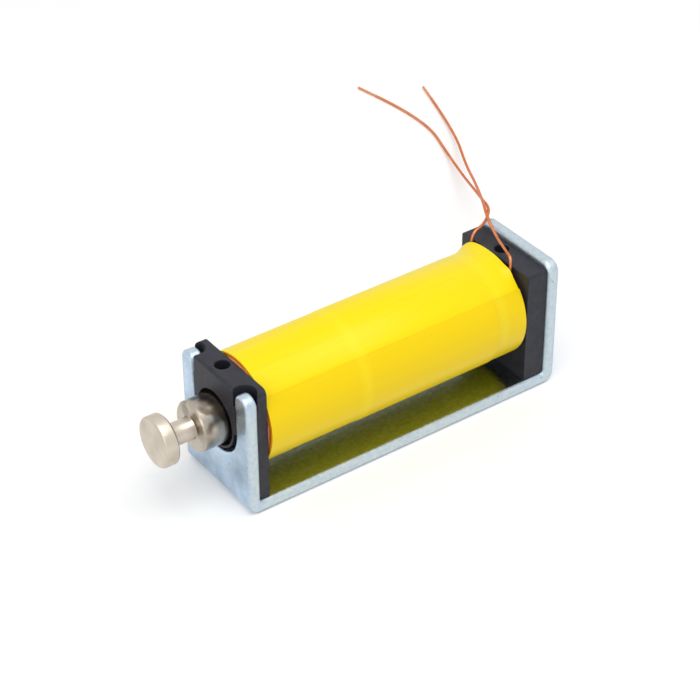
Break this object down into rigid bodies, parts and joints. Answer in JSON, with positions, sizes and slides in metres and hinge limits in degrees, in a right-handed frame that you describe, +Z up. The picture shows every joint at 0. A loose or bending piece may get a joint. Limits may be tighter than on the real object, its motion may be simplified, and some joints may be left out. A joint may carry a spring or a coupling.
{
  "type": "push pull solenoid",
  "caption": "Open-frame linear solenoid: taped coil in a bent steel bracket, sliding grooved plunger at the fork end, push rod at the rear and free winding leads.",
  "frame": {"origin": "centre of the bracket's underside, on the face that it is mounted by", "axes": "+X from the plunger's grooved head towards the rear flange, +Z up from the mounting face, +Y towards the side on which the leads leave"},
  "size_m": [0.0688, 0.0595, 0.0151],
  "materials": {
    "zinc_plated_steel": "bright zinc plate, smooth",
    "black_plastic": "moulded, fine matte",
    "enamelled_copper": "copper wire under clear enamel, glossy",
    "yellow_film_tape": "satin polyester film",
    "nickel_plated_steel": "turned and nickel plated, satin",
    "stainless_rod": "ground",
    "core_steel": "turned, plated",
    "brass_shim": "stamped",
    "bare_copper": "drawn copper, scraped clear of its enamel"
  },
  "bodies": {
    "frame": {"frame_bracket": "zinc_plated_steel", "bobbin": "black_plastic", "coil_winding": "enamelled_copper", "tape_wrap": "yellow_film_tape", "tape_patch": "yellow_film_tape", "tape_end_flap": "yellow_film_tape", "fixed_core": "core_steel", "stop_washer": "brass_shim", "lead_start": "enamelled_copper", "lead_start_tip": "bare_copper", "lead_finish": "enamelled_copper", "lead_finish_tip": "bare_copper"},
    "plunger": {"plunger": "nickel_plated_steel", "push_rod": "stainless_rod"}
  },
  "joints": [
    {"name": "plunger_slide", "type": "slide", "parent": "frame", "child": "plunger", "axis": [1, 0, 0], "range_m": [0, 0.005]}
  ]
}
